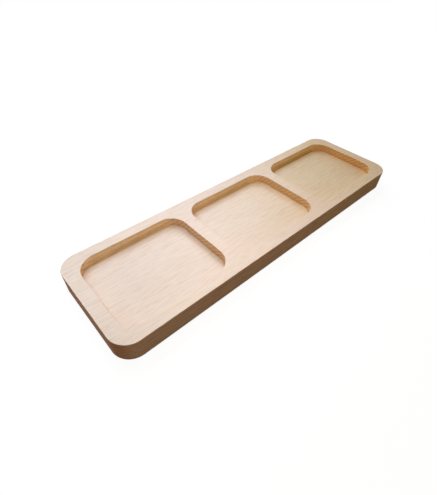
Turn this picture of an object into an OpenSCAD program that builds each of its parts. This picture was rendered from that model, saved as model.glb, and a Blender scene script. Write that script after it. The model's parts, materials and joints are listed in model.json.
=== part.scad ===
// Divided serving tray: a beech board with three rounded pockets in a row.
// The board is glued up edge to edge from three staves and then milled, so the pockets cross the glue lines.
// Sizes are in millimetres. X runs along the tray, Y across it, and Z up from the face that it rests on.

/* [Pockets] */
// Length of the pocket at each end, along the tray
end_pocket_l = 100; // [60:1:140]
// Length of the middle pocket, along the tray
middle_pocket_l = 103; // [60:1:140]
// Width of each pocket, across the tray
pocket_w = 81; // [50:1:120]
// Depth of each pocket below the top face
pocket_depth = 8.5; // [5:0.5:14]
// Corner radius of each pocket, seen from above
pocket_corner_r = 16.5; // [6:0.5:25]
// Radius of the cove between a pocket's wall and its floor
cove_r = 0.5; // [0.2:0.1:4]

/* [Rims and dividers] */
// Width of the rim at each end of the tray
end_rim_w = 11.5; // [6:0.5:30]
// Width of the rim along each long side
side_rim_w = 10.5; // [6:0.5:30]
// Width of each divider between two pockets
divider_w = 12; // [6:0.5:30]

/* [Board] */
// Thickness of the board
board_t = 20; // [16:0.5:40]
// Corner radius of the board, seen from above
board_corner_r = 16.5; // [6:0.5:25]
// Radius of the rounded arris along every edge
arris_r = 0.3; // [0.2:0.1:1.5]

/* [Staves] */
// Width of the middle stave
middle_stave_w = 34; // [20:1:60]
// Thickness of the glue film between two staves
glue_t = 0.1; // [0.05:0.05:0.3]

/* [Hidden] */
$fn = 96;

// Colours of the bare wood and of the dried glue
beech = [0.93, 0.83, 0.72];
dried_glue = [0.80, 0.66, 0.48];

// Outside size of the board
board_l = 2 * (end_rim_w + end_pocket_l + divider_w) + middle_pocket_l;
board_w = 2 * side_rim_w + pocket_w;

// How far an end pocket's centre lies from the middle of the tray, and the height of every pocket's floor
end_pocket_x = middle_pocket_l / 2 + divider_w + end_pocket_l / 2;
pocket_floor_z = board_t - pocket_depth;

// The cutter stands this far above the top face, so that it leaves no skin there
overcut = 1;

// Where each slice of the board starts, from the front edge to the back edge
middle_start_y = -middle_stave_w / 2;
front_glue_start_y = middle_start_y - glue_t;
back_glue_start_y = middle_stave_w / 2;
back_start_y = back_glue_start_y + glue_t;

// A quarter of a disc between the +X and +Y directions
module quarter_disc(r) {
    intersection() {
        circle(r);
        square(r);
    }
}

// Half-section of the board's edge: X out from a corner's centre, Y up from the base
module board_edge_section() {
    flat_r = board_corner_r - arris_r;
    side_h = board_t - 2 * arris_r;
    square([flat_r, board_t]);
    translate([flat_r, arris_r]) square([arris_r, side_h]);
    translate([flat_r, arris_r]) mirror([0, 1]) quarter_disc(arris_r);
    translate([flat_r, board_t - arris_r]) quarter_disc(arris_r);
}

// Half-section of a pocket's edge: the cove at the floor, the wall, and the arris at the rim
module pocket_edge_section() {
    flat_r = pocket_corner_r - cove_r;
    rim_r = pocket_corner_r + arris_r;
    wall_start_z = pocket_floor_z + cove_r;
    wall_end_z = board_t - arris_r;
    translate([0, pocket_floor_z]) square([flat_r, cove_r]);
    translate([flat_r, wall_start_z]) mirror([0, 1]) quarter_disc(cove_r);
    translate([0, wall_start_z]) square([pocket_corner_r, wall_end_z - wall_start_z]);
    translate([0, wall_end_z]) difference() {
        square([rim_r, arris_r + overcut]);
        translate([rim_r, 0]) circle(arris_r);
    }
}

// A half-section carried round a rectangle that joins four corner centres
module carried_round(core_l, core_w) {
    for (turn = [0, 180]) rotate(turn) {
        translate([0, core_w / 2]) rotate([90, 0, 90]) linear_extrude(core_l, center = true) children();
        translate([core_l / 2, 0]) rotate([90, 0, 0]) linear_extrude(core_w, center = true) children();
        translate([core_l / 2, core_w / 2]) rotate_extrude(angle = 90) children();
        translate([-core_l / 2, core_w / 2]) rotate(90) rotate_extrude(angle = 90) children();
    }
}

// The glued-up board, cut to its outline, before the pockets are milled
module board_blank() {
    core_l = board_l - 2 * board_corner_r;
    core_w = board_w - 2 * board_corner_r;
    translate([-core_l / 2, -core_w / 2, 0]) cube([core_l, core_w, board_t]);
    carried_round(core_l, core_w) board_edge_section();
}

// The space that milling takes out for a pocket of one length
module pocket_space(pocket_l) {
    core_l = pocket_l - 2 * pocket_corner_r;
    core_w = pocket_w - 2 * pocket_corner_r;
    translate([-core_l / 2, -core_w / 2, pocket_floor_z]) cube([core_l, core_w, pocket_depth + overcut]);
    carried_round(core_l, core_w) pocket_edge_section();
}

// The whole board with its pockets
module milled_board() {
    difference() {
        board_blank();
        pocket_space(middle_pocket_l);
        for (side = [-1, 1]) translate([side * end_pocket_x, 0, 0]) pocket_space(end_pocket_l);
    }
}

// The part of the milled board from one place across the tray to another
module board_slice(start_y, end_y) {
    intersection() {
        milled_board();
        translate([-board_l, start_y, -overcut]) cube([2 * board_l, end_y - start_y, board_t + 2 * overcut]);
    }
}

// Front stave: the front rim and the front part of each pocket
module stave_front() {
    color(beech) board_slice(-board_w, front_glue_start_y);
}

// Glue film between the front stave and the middle one
module glue_line_front() {
    color(dried_glue) board_slice(front_glue_start_y, middle_start_y);
}

// Middle stave: the middle of each pocket floor, the end rims and the dividers
module stave_middle() {
    color(beech) board_slice(middle_start_y, back_glue_start_y);
}

// Glue film between the middle stave and the back one
module glue_line_back() {
    color(dried_glue) board_slice(back_glue_start_y, back_start_y);
}

// Back stave: the back part of each pocket and the back rim
module stave_back() {
    color(beech) board_slice(back_start_y, board_w);
}

stave_front();
stave_middle();
stave_back();
glue_line_front();
glue_line_back();
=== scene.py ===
# %% [markdown]
# # A divided serving tray in beech
# The tray is one plain board with three rounded pockets in a row. A maker glues three staves edge to
# edge, planes the board flat, cuts its outline and mills the pockets. This lesson reads the sizes, mixes
# the wood, mills the board, slices it into its staves, and then lights it.
#
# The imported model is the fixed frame. Every piece made here lies where its solid lies, in metres.

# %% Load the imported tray
import json
import math
import bmesh
import bpy
from mathutils import Matrix, Vector


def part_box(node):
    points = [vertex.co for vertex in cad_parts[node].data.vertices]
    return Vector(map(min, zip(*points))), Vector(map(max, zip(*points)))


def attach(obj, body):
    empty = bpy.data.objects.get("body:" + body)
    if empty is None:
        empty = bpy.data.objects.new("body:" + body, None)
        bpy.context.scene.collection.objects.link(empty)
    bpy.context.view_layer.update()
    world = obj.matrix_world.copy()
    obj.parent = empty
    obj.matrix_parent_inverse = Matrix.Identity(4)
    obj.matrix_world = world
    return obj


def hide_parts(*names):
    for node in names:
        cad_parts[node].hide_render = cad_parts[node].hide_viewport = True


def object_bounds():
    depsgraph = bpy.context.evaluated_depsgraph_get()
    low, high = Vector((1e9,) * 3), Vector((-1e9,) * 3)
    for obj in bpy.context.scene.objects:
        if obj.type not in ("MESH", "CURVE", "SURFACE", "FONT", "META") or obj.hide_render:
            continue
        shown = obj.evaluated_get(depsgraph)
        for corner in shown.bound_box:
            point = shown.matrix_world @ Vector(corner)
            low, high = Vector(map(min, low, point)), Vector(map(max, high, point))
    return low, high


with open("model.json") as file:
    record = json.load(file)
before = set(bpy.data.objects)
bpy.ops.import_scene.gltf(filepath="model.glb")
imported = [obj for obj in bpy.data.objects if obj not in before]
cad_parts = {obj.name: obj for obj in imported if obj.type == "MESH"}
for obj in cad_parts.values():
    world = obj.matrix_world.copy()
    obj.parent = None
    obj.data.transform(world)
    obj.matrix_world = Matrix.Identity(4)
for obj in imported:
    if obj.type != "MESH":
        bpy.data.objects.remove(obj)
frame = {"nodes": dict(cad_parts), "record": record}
cad_low, cad_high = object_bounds()
print("nodes:", sorted(frame["nodes"]))

# %% [markdown]
# ## Sizes
# The outside size, the pocket places and the floor height come from the frame, so the looks can't drift
# away from the solids. The frame doesn't say how the edges are shaped, so the radii and the pocket's plan
# are given here, as real sizes.

# %% Read the sizes
board_length, board_width, board_thickness = cad_high - cad_low
mounts = frame["record"]["mounts"]
pocket_floors = sorted(mount["pos_m"] for mount in mounts if mount["name"].endswith("pocket_floor"))
near_place, middle_place, far_place = (place[0] for place in pocket_floors)
pocket_floor_height = pocket_floors[0][2]

end_pocket_length = 0.100
middle_pocket_length = 0.103
pocket_width = 0.081
pocket_corner_radius = 0.0165
cove_radius = 0.0005
board_corner_radius = 0.0165
arris_radius = 0.0003


def in_mm(lengths):
    return [round(length * 1000, 2) for length in lengths]


print("board:", in_mm((board_length, board_width, board_thickness)), "mm")
print("pockets at:", in_mm((near_place, middle_place, far_place)), "mm along the tray")

# %% [markdown]
# ## Camera
# A phone held close gives the steep perspective: the near end looks much wider than the far one. A wide
# lens at a short distance does the same. The camera leans a little to one side, as a hand-held one does.

# %% Place the camera
camera_place = Vector((-0.19783, -0.16242, 0.21779))
camera_target = Vector((-0.06175, -0.01981, 0.0200))
camera_lean = math.radians(2.48)
lens_length = 23.76
sensor_width = 36.0
nearest_seen = 0.01


def put_in_scene(name, data):
    made = bpy.data.objects.new(name, data)
    bpy.context.scene.collection.objects.link(made)
    return made


def aimed(place, target):
    turn = (Vector(target) - Vector(place)).to_track_quat("-Z", "Y").to_matrix().to_4x4()
    return Matrix.Translation(place) @ turn


camera_data = bpy.data.cameras.new("camera")
camera_data.lens = lens_length
camera_data.sensor_width = sensor_width
camera_data.clip_start = nearest_seen
camera = put_in_scene("camera", camera_data)
camera.matrix_world = aimed(camera_place, camera_target) @ Matrix.Rotation(camera_lean, 4, "Z")
bpy.context.scene.camera = camera
print("camera is", round((camera_target - camera_place).length, 3), "m from the tray")

# %% [markdown]
# ## Helpers for node trees
# Shader trees and geometry trees are built in the same way: add a node, then feed each input either a
# plain value or another node's output. A few short helpers keep the cells below readable.

# %% Add nodes and feed their inputs


def feed(tree, socket, value):
    if isinstance(value, bpy.types.NodeSocket):
        tree.links.new(value, socket)
    else:
        socket.default_value = value


def add_node(tree, kind, inputs=None, **settings):
    made = tree.nodes.new(kind)
    for name, value in settings.items():
        setattr(made, name, value)
    for name, value in (inputs or {}).items():
        feed(tree, made.inputs[name], value)
    return made


def calculate(tree, operation, first, second=0.0):
    return add_node(tree, "ShaderNodeMath", {0: first, 1: second}, operation=operation).outputs[0]


def measure(tree, operation, first, second=(0.0, 0.0, 0.0)):
    return add_node(tree, "ShaderNodeVectorMath", {0: first, 1: second}, operation=operation).outputs


def between(tree, value, low, high, to_low=0.0, to_high=1.0):
    inputs = {"Value": value, "From Min": low, "From Max": high, "To Min": to_low, "To Max": to_high}
    return add_node(tree, "ShaderNodeMapRange", inputs, interpolation_type="SMOOTHSTEP").outputs[0]


def blend(tree, share, first, second, blend_type="MIX"):
    inputs = {0: share, 6: first, 7: second}
    return add_node(tree, "ShaderNodeMix", inputs, data_type="RGBA", blend_type=blend_type).outputs[2]


def tinted(tree, colour, tint, share=1.0):
    return blend(tree, share, colour, tint, "MULTIPLY")


print("node helpers are ready")

# %% [markdown]
# ## Beech
# Beech is a pale wood with a quiet figure. Its growth rings are a few millimetres apart, its fibres run
# along the board, and short flecks show where the rays are cut. A flat picture of wood would repeat on
# each face, so the figure is worked out in space, from Object coordinates: the rings are shells round a
# heart that lies below the front edge, which gives faint streaks on top and slanted strokes on the end
# grain, as in a real board.

# %% Growth rings round the heart of the log
heart_place = (0.0, -0.130, -0.130)
across_the_log = (0.0, 1.0, 1.0)
ring_width = 0.0034
ring_wander = 0.005
wander_size = (0.20, 0.025)
late_wood_start = 0.25
late_wood_peak = 0.85
noise_middle = 0.5


def fibre_noise(tree, position, along, across, detail=2.0):
    stretch = (1 / along, 1 / across, 1 / across)
    mapping = add_node(tree, "ShaderNodeMapping", {"Vector": position, "Scale": stretch})
    inputs = {"Vector": mapping.outputs[0], "Scale": 1.0, "Detail": detail}
    return add_node(tree, "ShaderNodeTexNoise", inputs).outputs["Fac"]


def growth_rings(tree, position):
    wander = calculate(tree, "SUBTRACT", fibre_noise(tree, position, *wander_size), noise_middle)
    from_heart = measure(tree, "SUBTRACT", position, heart_place)[0]
    across = measure(tree, "MULTIPLY", from_heart, across_the_log)[0]
    distance = measure(tree, "LENGTH", across)["Value"]
    wandering = calculate(tree, "ADD", distance, calculate(tree, "MULTIPLY", wander, ring_wander))
    year = calculate(tree, "FRACT", calculate(tree, "DIVIDE", wandering, ring_width))
    late_wood = between(tree, year, late_wood_start, late_wood_peak)
    next_spring = between(tree, year, late_wood_peak, 1.0, 1.0, 0.0)
    return calculate(tree, "MULTIPLY", late_wood, next_spring)


print("growth rings:", in_mm([ring_width])[0], "mm apart")

# %% [markdown]
# Between the rings lies the fine figure: thin streaks, short flecks, hair-thin fibres and a slow change of
# tone. All are noise, stretched along the board. On the upright faces the figure is stronger, because the
# cutter leaves it open, and the rings show fully only on the end grain.

# %% Streaks, flecks, fibres and tone
streak_size = (0.016, 0.0009)
streak_detail = 3.0
streak_weight = 1.4
fleck_size = (0.007, 0.0008)
fleck_limits = (0.56, 0.72)
fleck_middle = 0.1
fleck_weight = 0.22
fibre_size = (0.006, 0.0003)
fibre_weight = 0.9
tone_size = (0.30, 0.030)
tone_detail = 1.0
tone_weight = 0.40
ring_middle = 0.3
rings_off_end_grain = 0.5
rings_on_flat_faces = 0.18
figure_on_upright_faces = 2.4
shade_limits = (-0.35, 0.80)


def beech_figure(tree, position, flat, end_grain):
    ring_share = calculate(tree, "MULTIPLY", between(tree, end_grain, 0.0, 1.0, rings_off_end_grain, 1.0),
                           between(tree, flat, 0.0, 1.0, 1.0, rings_on_flat_faces))
    figure_share = between(tree, flat, 0.0, 1.0, figure_on_upright_faces, 1.0)
    rings = calculate(tree, "SUBTRACT", growth_rings(tree, position), ring_middle)
    shade = calculate(tree, "MULTIPLY", rings, ring_share)
    flecks = between(tree, fibre_noise(tree, position, *fleck_size), *fleck_limits)
    fibres = fibre_noise(tree, position, *fibre_size)
    streaks = fibre_noise(tree, position, *streak_size, streak_detail)
    tone = fibre_noise(tree, position, *tone_size, tone_detail)
    weighed = ((streaks, noise_middle, streak_weight), (flecks, fleck_middle, fleck_weight),
               (fibres, noise_middle, fibre_weight), (tone, noise_middle, tone_weight))
    for figure, middle, weight in weighed:
        share = calculate(tree, "MULTIPLY", calculate(tree, "SUBTRACT", figure, middle), weight)
        shade = calculate(tree, "ADD", shade, calculate(tree, "MULTIPLY", share, figure_share))
    return between(tree, shade, *shade_limits), flecks, fibres


print("streaks:", in_mm(streak_size), "mm long and wide")

# %% [markdown]
# A board doesn't take a cut the same way on every face. The flat faces are sanded fine, so they are pale
# and have a satin sheen. The pocket floors are painted a touch cooler, which offsets the warm light that
# their walls bounce onto them, and beside the long walls they carry a painted golden shadow. The upright
# faces are left by the cutter, which makes them duller, and they are browner, partly in their own colour
# and partly as painted shade; the foot of a pocket's wall is painted darker still, as painted shade. The
# end grain drinks the most light, and the board's outer ends are darkest of all, partly as end grain and
# partly as painted shade. The face's own direction tells the finish which of these it is, and its place
# tells a floor from the top and a pocket's wall from the board's outer side.

# %% Which way a face looks and where it lies
flat_limits = (0.5, 0.95)
end_grain_limits = (0.3, 0.95)
painted_floor_shadow_width = 0.006


def face_shares(tree):
    normal = add_node(tree, "ShaderNodeNewGeometry").outputs["Normal"]
    parts = add_node(tree, "ShaderNodeSeparateXYZ", {0: normal}).outputs
    flat = between(tree, calculate(tree, "ABSOLUTE", parts["Z"]), *flat_limits)
    end_grain = between(tree, calculate(tree, "ABSOLUTE", parts["X"]), *end_grain_limits)
    return flat, end_grain


def pocket_share(tree, place):
    inside_along = (far_place + end_pocket_length / 2 + cad_high.x) / 2
    inside_across = (pocket_width / 2 + cad_high.y) / 2
    along = calculate(tree, "LESS_THAN", calculate(tree, "ABSOLUTE", place["X"]), inside_along)
    across = calculate(tree, "LESS_THAN", calculate(tree, "ABSOLUTE", place["Y"]), inside_across)
    return calculate(tree, "MULTIPLY", along, across)


# mask of the painted shadow: a golden band on the pocket floors beside both long walls
def painted_floor_shadow_share(tree, place):
    half_width = pocket_width / 2
    across = calculate(tree, "ABSOLUTE", place["Y"])
    shadow_beside_wall = between(tree, across, half_width - painted_floor_shadow_width, half_width)
    above_base = calculate(tree, "GREATER_THAN", place["Z"], pocket_floor_height / 2)
    return calculate(tree, "MULTIPLY", shadow_beside_wall, above_base)


print("painted golden floor shadow:", in_mm([painted_floor_shadow_width])[0], "mm wide")

# %% [markdown]
# The plank's colour isn't even either. It is pinkish at the near end and drifts to straw along the tray, a
# little later on the top than on the deeper floors, and the last bit of the far end is a shade redder.
# This drift is partly the plank's own tone and partly painted light: the near end is painted paler, as if
# lit brighter and with more sheen, and the far end deeper, as if lit less. Each tint below multiplies the
# wood's own colour.

# %% Colours and tints of the beech
pale_beech = (0.855, 0.676, 0.571, 1.0)
dark_beech = (0.663, 0.460, 0.361, 1.0)
# partly plank tone, partly painted light: the near end stays paler, the far end turns straw
straw_tint = (1.04, 0.99, 0.69, 1.0)
straw_start = -0.09
straw_start_on_top = -0.02
far_end_tint = (0.97, 0.92, 0.92, 1.0)
far_end_start = 0.12
sanded_tint = (1.0, 1.0, 1.0, 1.0)
# painted offset of light: the floors are a touch cooler to cancel the warm light bounced from the walls
floor_bounce_offset_tint = (0.96, 0.98, 1.0, 1.0)
# painted shadow: the golden band that the long walls cast on the pocket floors
painted_floor_shadow_tint = (0.92, 0.82, 0.55, 1.0)
# upright tints: partly the cut faces' own colour, partly painted shade and painted bounce light
pocket_side_tint = (1.13, 1.08, 0.86, 1.0)
pocket_end_tint = (0.93, 0.74, 0.48, 1.0)
# painted shade: the foot of each pocket wall is darkened towards the floor, where shade gathers
painted_wall_foot_shade = (0.86, 0.80, 0.68, 1.0)
painted_foot_shade_height = 0.0045
outer_side_tint = (1.10, 1.02, 0.82, 1.0)
# partly end grain, partly painted shade: the board's outer ends are darkened as they lie in shade
outer_end_grain_and_shade_tint = (0.86, 0.58, 0.35, 1.0)


# the straw drift along the tray is partly plank tone and partly painted falloff of light
def plank_colour_and_painted_falloff(tree, shade, place, on_top):
    straw_from = between(tree, on_top, 0.0, 1.0, straw_start, straw_start_on_top)
    straw = between(tree, place["X"], straw_from, cad_high.x)
    far_end = between(tree, place["X"], far_end_start, cad_high.x)
    wood = blend(tree, shade, pale_beech, dark_beech)
    return tinted(tree, tinted(tree, wood, straw_tint, straw), far_end_tint, far_end)


# the floors get the painted bounce offset and the painted shadow beside the long walls
def flat_tint_and_painted_shadow(tree, place, on_top):
    floor_offset_and_shadow_tint = blend(tree, painted_floor_shadow_share(tree, place), floor_bounce_offset_tint, painted_floor_shadow_tint)
    return blend(tree, on_top, floor_offset_and_shadow_tint, sanded_tint)


def upright_tint_and_painted_shade(tree, place, end_grain):
    # the pocket walls get painted shade that deepens towards their foot
    foot_shade_top = pocket_floor_height + painted_foot_shade_height
    foot = between(tree, place["Z"], pocket_floor_height, foot_shade_top, 1.0, 0.0)
    wall_tint_and_foot_shade = blend(tree, end_grain, pocket_side_tint, pocket_end_tint)
    wall_tint_and_foot_shade = tinted(tree, wall_tint_and_foot_shade, painted_wall_foot_shade, foot)
    outer_tint_and_end_shade = blend(tree, end_grain, outer_side_tint, outer_end_grain_and_shade_tint)
    return blend(tree, pocket_share(tree, place), outer_tint_and_end_shade, wall_tint_and_foot_shade)


print("straw tone starts at:", in_mm((straw_start, straw_start_on_top)), "mm on the floors and on top")

# %% [markdown]
# The finish puts these together. Sanding leaves a satin sheen and the cutter a dull one, and the fibres
# raise the surface by a hair, which breaks up the reflections.

# %% Mix the beech finish
level_margin = 0.001
sanded_roughness = 0.36
cut_roughness = 0.85
fleck_roughness = 0.08
wood_refraction = 1.5
fibre_relief = 0.12
fibre_depth = 0.0002


def new_finish(name):
    finish = bpy.data.materials.new(name)
    finish.use_nodes = True
    return finish, finish.node_tree


def object_place(tree):
    return add_node(tree, "ShaderNodeTexCoord").outputs["Object"]


def beech_finish():
    finish, tree = new_finish("sanded_beech")
    surface = tree.nodes["Principled BSDF"].inputs
    position = object_place(tree)
    place = add_node(tree, "ShaderNodeSeparateXYZ", {0: position}).outputs
    flat, end_grain = face_shares(tree)
    shade, flecks, fibres = beech_figure(tree, position, flat, end_grain)

    floor_level = pocket_floor_height + level_margin
    on_top = between(tree, place["Z"], floor_level, board_thickness - level_margin)
    # this tint carries the painted shade and shadow of the faces as well as their own colour
    tint = blend(tree, flat, upright_tint_and_painted_shade(tree, place, end_grain), flat_tint_and_painted_shadow(tree, place, on_top))
    feed(tree, surface["Base Color"], tinted(tree, plank_colour_and_painted_falloff(tree, shade, place, on_top), tint))

    polish = between(tree, flat, 0.0, 1.0, cut_roughness, sanded_roughness)
    roughness = calculate(tree, "ADD", polish, calculate(tree, "MULTIPLY", flecks, fleck_roughness))
    feed(tree, surface["Roughness"], roughness)
    feed(tree, surface["IOR"], wood_refraction)

    relief = {"Height": fibres, "Strength": fibre_relief, "Distance": fibre_depth}
    feed(tree, surface["Normal"], add_node(tree, "ShaderNodeBump", relief).outputs[0])
    return finish


beech = beech_finish()
print("beech finish:", len(beech.node_tree.nodes), "nodes")

# %% [markdown]
# ## Glue
# Each joint is a film of wood glue a tenth of a millimetre thick. Dried white glue is a little darker and
# yellower than the wood, with a faint cloudiness, and it is seen only as a hairline.

# %% Mix the glue finish
pale_glue = (0.72, 0.51, 0.30, 1.0)
dark_glue = (0.60, 0.40, 0.22, 1.0)
glue_cloud_size = (0.004, 0.002)
glue_cloud_limits = (0.3, 0.7)
glue_roughness = (0.40, 0.55)


def glue_finish():
    finish, tree = new_finish("dried_glue")
    surface = tree.nodes["Principled BSDF"].inputs
    cloud = fibre_noise(tree, object_place(tree), *glue_cloud_size)
    feed(tree, surface["Base Color"], blend(tree, cloud, pale_glue, dark_glue))
    feed(tree, surface["Roughness"], between(tree, cloud, *glue_cloud_limits, *glue_roughness))
    return finish


glue = glue_finish()
print("glue finish:", len(glue.node_tree.nodes), "nodes")

# %% [markdown]
# ## Milling the board
# The board follows a rule: an outline, a section for its edge, and the same pocket three times. Geometry
# Nodes suit that better than pushing points about. One tree draws the rounded outlines, carries the edge
# sections round them, fills the flat faces, and then keeps one slice of the board across its width. Each
# stave and each glue film is that tree with its own slice.

# %% Rounded outlines and edge sections
corner_steps = 24
edge_steps = 6


def negative(tree, size):
    return calculate(tree, "MULTIPLY", size, -1.0)


def point(tree, x, y):
    return add_node(tree, "ShaderNodeCombineXYZ", {"X": x, "Y": y}).outputs[0]


def rounded(tree, curve, radius, steps):
    inputs = {"Curve": curve, "Radius": radius, "Count": steps, "Limit Radius": True}
    return add_node(tree, "GeometryNodeFilletCurve", inputs, mode="POLY").outputs[0]


def rounded_outline(tree, length, width, radius):
    sides = {"Width": length, "Height": width}
    outline = add_node(tree, "GeometryNodeCurvePrimitiveQuadrilateral", sides).outputs[0]
    return rounded(tree, outline, radius, corner_steps)


def edge_section(tree, points, first_radius, second_radius):
    line = add_node(tree, "GeometryNodeCurvePrimitiveQuadrilateral", mode="POINTS")
    for name, (outward, height) in zip(("Point 1", "Point 2", "Point 3", "Point 4"), points):
        feed(tree, line.inputs[name], point(tree, outward, negative(tree, height)))
    opened = add_node(tree, "GeometryNodeSetSplineCyclic", {"Geometry": line.outputs[0], "Cyclic": False})
    index = add_node(tree, "GeometryNodeInputIndex").outputs[0]
    is_first = calculate(tree, "COMPARE", index, 1.0)
    radii = {0: is_first, 2: second_radius, 3: first_radius}
    radius = add_node(tree, "ShaderNodeMix", radii).outputs[0]
    return rounded(tree, opened.outputs[0], radius, edge_steps)


print("steps round a corner and an edge:", corner_steps, edge_steps)

# %% [markdown]
# A wall is a section carried round an outline, and a flat face is one or more outlines filled in. A wall
# that is carried round the inside of a pocket, and a face that looks down, are turned over so that all
# faces point out of the wood.

# %% Walls and flat faces


def joined(tree, pieces):
    join = add_node(tree, "GeometryNodeJoinGeometry")
    for piece in pieces:
        tree.links.new(piece, join.inputs[0])
    return join.outputs[0]


def carry_round(tree, outline, section):
    upright = add_node(tree, "GeometryNodeSetCurveNormal", {"Curve": outline}, mode="Z_UP").outputs[0]
    sweep = {"Curve": upright, "Profile Curve": section}
    return add_node(tree, "GeometryNodeCurveToMesh", sweep).outputs[0]


def flat_face(tree, outlines, height):
    outline = joined(tree, outlines)
    filled = add_node(tree, "GeometryNodeFillCurve", {"Curve": outline}, mode="TRIANGLES").outputs[0]
    lift = add_node(tree, "ShaderNodeCombineXYZ", {"Z": height}).outputs[0]
    return moved(tree, filled, lift)


def moved(tree, geometry, shift):
    return add_node(tree, "GeometryNodeTransform", {"Geometry": geometry, "Translation": shift}).outputs[0]


def turned_over(tree, geometry):
    return add_node(tree, "GeometryNodeFlipFaces", {"Mesh": geometry}).outputs[0]


def grown(tree, size, by):
    return calculate(tree, "ADD", size, calculate(tree, "MULTIPLY", by, 2.0))


print("wall and face helpers are ready")

# %% [markdown]
# A pocket has a rim at the top, a wall with a rounded arris and a small cove, and a flat floor. The two end
# pockets are one pocket placed on two points, and the middle one, a little longer, stands on a third. The
# rims are cut out of the top face, and the parts are then joined along their shared edges.

# %% The board with its pockets
merge_distance = 0.00006


def pocket(tree, given, length):
    arris = given["Arris"]
    cove = given["Cove"]
    width = given["Pocket Width"]
    corner = given["Pocket Corner"]
    top = given["Board Thickness"]
    floor = given["Pocket Floor"]
    rim_corner = calculate(tree, "ADD", corner, arris)
    rim = rounded_outline(tree, grown(tree, length, arris), grown(tree, width, arris), rim_corner)
    wall_place = negative(tree, arris)
    foot_place = negative(tree, calculate(tree, "ADD", arris, cove))
    corners = ((0.0, top), (wall_place, top), (wall_place, floor), (foot_place, floor))
    wall = turned_over(tree, carry_round(tree, rim, edge_section(tree, corners, arris, cove)))
    inset = negative(tree, cove)
    foot_corner = calculate(tree, "SUBTRACT", corner, cove)
    foot = rounded_outline(tree, grown(tree, length, inset), grown(tree, width, inset), foot_corner)
    return rim, joined(tree, [wall, flat_face(tree, [foot], floor)])


def pocket_points(tree, given):
    which_end = add_node(tree, "GeometryNodeInputIndex").outputs[0]
    near_or_far = {0: which_end, 2: given["Near Place"], 3: given["Far Place"]}
    end_place = add_node(tree, "ShaderNodeMix", near_or_far).outputs[0]
    at_ends = {"Count": 2, "Position": point(tree, end_place, 0.0)}
    at_middle = {"Count": 1, "Position": point(tree, given["Middle Place"], 0.0)}
    return [add_node(tree, "GeometryNodePoints", place).outputs[0] for place in (at_ends, at_middle)]


def copies_at(tree, points, geometry):
    copies = add_node(tree, "GeometryNodeInstanceOnPoints", {"Points": points, "Instance": geometry})
    return add_node(tree, "GeometryNodeRealizeInstances", {"Geometry": copies.outputs[0]}).outputs[0]


def milled_board(tree, given):
    arris = given["Arris"]
    thickness = given["Board Thickness"]
    inset = negative(tree, arris)
    top_length = grown(tree, given["Board Length"], inset)
    top_width = grown(tree, given["Board Width"], inset)
    top_corner = calculate(tree, "SUBTRACT", given["Board Corner"], arris)
    top_outline = rounded_outline(tree, top_length, top_width, top_corner)
    corners = ((0.0, thickness), (arris, thickness), (arris, 0.0), (0.0, 0.0))
    side = carry_round(tree, top_outline, edge_section(tree, corners, arris, arris))
    base = turned_over(tree, flat_face(tree, [top_outline], 0.0))
    ends, centre = pocket_points(tree, given)
    end_rim, end_shell = pocket(tree, given, given["End Pocket Length"])
    middle_rim, middle_shell = pocket(tree, given, given["Middle Pocket Length"])
    rims = [copies_at(tree, ends, end_rim), copies_at(tree, centre, middle_rim)]
    shells = [copies_at(tree, ends, end_shell), copies_at(tree, centre, middle_shell)]
    top = flat_face(tree, [top_outline] + rims, thickness)
    merge = {"Geometry": joined(tree, [side, base, top] + shells), "Distance": merge_distance}
    return add_node(tree, "GeometryNodeMergeByDistance", merge).outputs[0]


print("parts are joined within", in_mm([merge_distance])[0], "mm")

# %% [markdown]
# The last nodes keep what the board shares with a slab, which is longer and thicker than the board and as
# wide as the slice. The tree's inputs are the board's sizes, the slice's two sides and the finish.

# %% The tree that mills the board and keeps one slice
slab_times_longer = 2.0
slab_times_thicker = 4.0
milling_sizes = {
    "Board Length": board_length,
    "Board Width": board_width,
    "Board Thickness": board_thickness,
    "Board Corner": board_corner_radius,
    "Arris": arris_radius,
    "End Pocket Length": end_pocket_length,
    "Middle Pocket Length": middle_pocket_length,
    "Pocket Width": pocket_width,
    "Pocket Floor": pocket_floor_height,
    "Pocket Corner": pocket_corner_radius,
    "Cove": cove_radius,
    "Near Place": near_place,
    "Middle Place": middle_place,
    "Far Place": far_place,
}


def kept_slice(tree, given, board):
    start = given["Slice Start"]
    end = given["Slice End"]
    sides = {"X": calculate(tree, "MULTIPLY", given["Board Length"], slab_times_longer),
             "Y": calculate(tree, "SUBTRACT", end, start),
             "Z": calculate(tree, "MULTIPLY", given["Board Thickness"], slab_times_thicker)}
    size = add_node(tree, "ShaderNodeCombineXYZ", sides).outputs[0]
    slab = add_node(tree, "GeometryNodeMeshCube", {"Size": size}).outputs[0]
    middle = calculate(tree, "MULTIPLY", calculate(tree, "ADD", start, end), 0.5)
    slab = moved(tree, slab, point(tree, 0.0, middle))
    kept = add_node(tree, "GeometryNodeMeshBoolean", operation="INTERSECT", solver="EXACT")
    for mesh in (board, slab):
        tree.links.new(mesh, kept.inputs["Mesh 2"])
    return kept.outputs[0]


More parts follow.
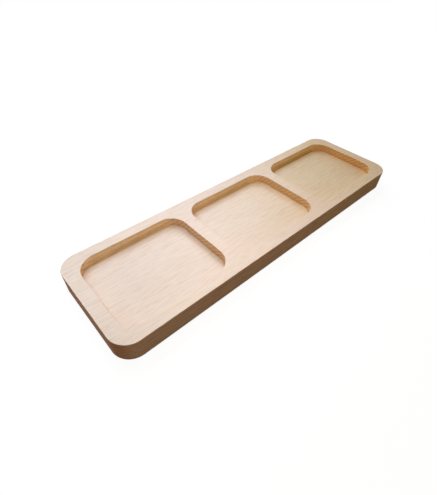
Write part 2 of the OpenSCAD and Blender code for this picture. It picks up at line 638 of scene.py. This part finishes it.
def milled_slice_tree():
    tree = bpy.data.node_groups.new("milled_slice", "GeometryNodeTree")
    tree.interface.new_socket("Geometry", in_out="INPUT", socket_type="NodeSocketGeometry")
    for name in (*milling_sizes, "Slice Start", "Slice End"):
        tree.interface.new_socket(name, in_out="INPUT", socket_type="NodeSocketFloat")
    tree.interface.new_socket("Finish", in_out="INPUT", socket_type="NodeSocketMaterial")
    tree.interface.new_socket("Geometry", in_out="OUTPUT", socket_type="NodeSocketGeometry")
    given = add_node(tree, "NodeGroupInput").outputs
    kept = kept_slice(tree, given, milled_board(tree, given))
    realized = add_node(tree, "GeometryNodeRealizeInstances", {"Geometry": kept}).outputs[0]
    coat = {"Geometry": realized, "Material": given["Finish"]}
    coated = add_node(tree, "GeometryNodeSetMaterial", coat).outputs[0]
    output = add_node(tree, "NodeGroupOutput")
    tree.links.new(coated, output.inputs[0])
    return tree


slice_tree = milled_slice_tree()
print("milling tree:", len(slice_tree.nodes), "nodes")

# %% [markdown]
# ## Staves and glue films
# A slice of the board is a stave or, when it is very thin, a glue film. After the tree has run, its result
# becomes a plain mesh, because what is exported has to be a mesh. Flat faces stay flat and only the
# rounded edges and corners are shaded smooth, which keeps the arrises crisp.

# %% Turn a slice into a piece
seam_gap = 0.000001
square_to_an_axis = 0.99999


def tidy_faces(mesh):
    work = bmesh.new()
    work.from_mesh(mesh)
    bmesh.ops.remove_doubles(work, verts=work.verts, dist=seam_gap)
    bmesh.ops.recalc_face_normals(work, faces=work.faces)
    for face in work.faces:
        face.smooth = max(abs(part) for part in face.normal) < square_to_an_axis
    open_edges = [edge for edge in work.edges if len(edge.link_faces) != 2]
    print(mesh.name, len(work.faces), "faces,", len(open_edges), "open edges")
    work.to_mesh(mesh)
    work.free()


def milled_piece(name, start, end, finish):
    values = {**milling_sizes, "Slice Start": start, "Slice End": end, "Finish": finish}
    blank = put_in_scene(name + "_blank", bpy.data.meshes.new(name + "_blank"))
    modifier = blank.modifiers.new("milling", "NODES")
    modifier.node_group = slice_tree
    for socket in slice_tree.interface.items_tree:
        if socket.in_out == "INPUT" and socket.name in values:
            modifier[socket.identifier] = values[socket.name]
    evaluated = blank.evaluated_get(bpy.context.evaluated_depsgraph_get())
    mesh = bpy.data.meshes.new_from_object(evaluated)
    bpy.data.objects.remove(blank)
    mesh.name = name
    tidy_faces(mesh)
    return put_in_scene(name, mesh)


print("seams close within", seam_gap, "m")

# %% [markdown]
# Each piece takes its slice from the solid that it dresses. The slice runs past the board on the two outer
# staves, so that the slab doesn't touch the board's own sides.

# %% Make the staves and the glue films
past_the_board = board_width
finishes = {"beech": beech, "glue": glue}
slots = {
    "stave_front": "beech",
    "stave_middle": "beech",
    "stave_back": "beech",
    "glue_line_front": "glue",
    "glue_line_back": "glue",
}


def slice_of(node):
    low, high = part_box(node)
    start = low.y if low.y > cad_low.y + seam_gap else low.y - past_the_board
    end = high.y if high.y < cad_high.y - seam_gap else high.y + past_the_board
    return start, end


for node, slot in slots.items():
    piece = milled_piece("milled_" + node, *slice_of(node), finishes[slot])
    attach(piece, "root")
    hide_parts(node)

# %% [markdown]
# ## Floor
# The tray stands on a plain floor. To the camera the floor is white, with the tray's soft shadow on it. To
# light that bounces it is a dim warm surface, so that the tray's sides aren't washed out by a white glow
# from below.

# %% Lay the floor
floor_reach = 4.0
floor_signs = ((-1, -1), (1, -1), (1, 1), (-1, 1))
hair = 0.0001
white = (1.0, 1.0, 1.0, 1.0)
glow_by_the_tray = 0.94
glow_away = 1.0
glow_reach = (0.15, 0.60)
shadow_share = (0.12, 0.12, 0.12, 1.0)
bounce_colour = (0.20, 0.09, 0.05, 1.0)


def seen_directly(tree):
    path = add_node(tree, "ShaderNodeLightPath").outputs
    seen = calculate(tree, "MAXIMUM", path["Is Camera Ray"], path["Is Glossy Ray"])
    return calculate(tree, "MAXIMUM", seen, path["Is Transmission Ray"])


def floor_finish():
    finish, tree = new_finish("pale_floor")
    tree.nodes.remove(tree.nodes["Principled BSDF"])
    distance = measure(tree, "LENGTH", object_place(tree))["Value"]
    strength = between(tree, distance, *glow_reach, glow_by_the_tray, glow_away)
    glow = add_node(tree, "ShaderNodeEmission", {"Color": white, "Strength": strength}).outputs[0]
    lit = add_node(tree, "ShaderNodeBsdfDiffuse", {"Color": shadow_share}).outputs[0]
    shown = add_node(tree, "ShaderNodeAddShader", {0: glow, 1: lit}).outputs[0]
    bounce = add_node(tree, "ShaderNodeBsdfDiffuse", {"Color": bounce_colour}).outputs[0]
    mixed = add_node(tree, "ShaderNodeMixShader", {0: seen_directly(tree), 1: bounce, 2: shown})
    tree.links.new(mixed.outputs[0], tree.nodes["Material Output"].inputs["Surface"])
    return finish


floor_height = cad_low.z - hair
floor_corners = [(x * floor_reach, y * floor_reach, floor_height) for x, y in floor_signs]
floor_mesh = bpy.data.meshes.new("floor")
floor_mesh.from_pydata(floor_corners, [], [(0, 1, 2, 3)])
floor_mesh.materials.append(floor_finish())
floor = put_in_scene("floor", floor_mesh)
print("floor:", 2 * floor_reach, "m square")

# %% [markdown]
# ## Light
# Five soft lamps do what a bright room does. A broad, slightly cool panel behind the tray and to the right
# gives most of the light and the satin sheen on the near end. A strip nearly overhead draws the shadow
# under the back walls. A small lamp close above the near end makes it the brightest, so that the far end
# falls off. A low, warm strip right above the tray shines into the pockets and onto their back walls, but
# not onto the tray's outer front side. A weak warm one in front keeps that side from going black. None of
# them shows itself to the camera.

# %% Hang the lamps
tray_middle = (0.0, 0.0, 0.02)


def soft_lamp(name, place, target, size, colour, power):
    lamp_data = bpy.data.lights.new(name, "AREA")
    lamp_data.shape = "RECTANGLE"
    lamp_data.size, lamp_data.size_y = size
    lamp_data.color = colour
    lamp_data.energy = power
    lamp = put_in_scene(name, lamp_data)
    lamp.matrix_world = aimed(place, target)
    lamp.visible_camera = False
    print(name, "lamp:", power, "W")


soft_lamp("panel", place=(0.30, 0.50, 0.50), target=tray_middle, size=(0.60, 0.30),
          colour=(0.80, 0.88, 1.0), power=2.2)
soft_lamp("strip", place=(0.08, 0.21, 0.50), target=(0.08, 0.21, 0.0), size=(0.30, 0.06),
          colour=(0.95, 0.98, 1.0), power=0.82)
soft_lamp("near_end", place=(-0.21, 0.15, 0.22), target=(-0.21, 0.15, 0.0), size=(0.20, 0.20),
          colour=(0.72, 0.90, 1.0), power=0.36)
soft_lamp("low_strip", place=(-0.05, -0.035, 0.16), target=(-0.05, -0.035, 0.0), size=(0.26, 0.03),
          colour=(1.0, 0.89, 0.68), power=0.118)
soft_lamp("front_fill", place=(-0.26, -0.50, 0.38), target=tray_middle, size=(0.60, 0.30),
          colour=(1.0, 0.80, 0.52), power=0.56)

# %% [markdown]
# The world is white where the camera and the reflections see it, and it gives no light of its own, so that
# the lamps alone shape the tray.

# %% Set the backdrop
world_light = 0.0
backdrop_strength = 1.0

world = bpy.data.worlds.new("studio")
world.use_nodes = True
bpy.context.scene.world = world
world_tree = world.node_tree
around = world_tree.nodes["Background"]
around.inputs["Strength"].default_value = world_light
backdrop = add_node(world_tree, "ShaderNodeBackground", {"Color": white, "Strength": backdrop_strength})
backdrop_mix = {0: seen_directly(world_tree), 1: around.outputs[0], 2: backdrop.outputs[0]}
mixed = add_node(world_tree, "ShaderNodeMixShader", backdrop_mix)
world_tree.links.new(mixed.outputs[0], world_tree.nodes["World Output"].inputs["Surface"])
bpy.context.scene.view_settings.view_transform = "Standard"
print("world light:", world_light)
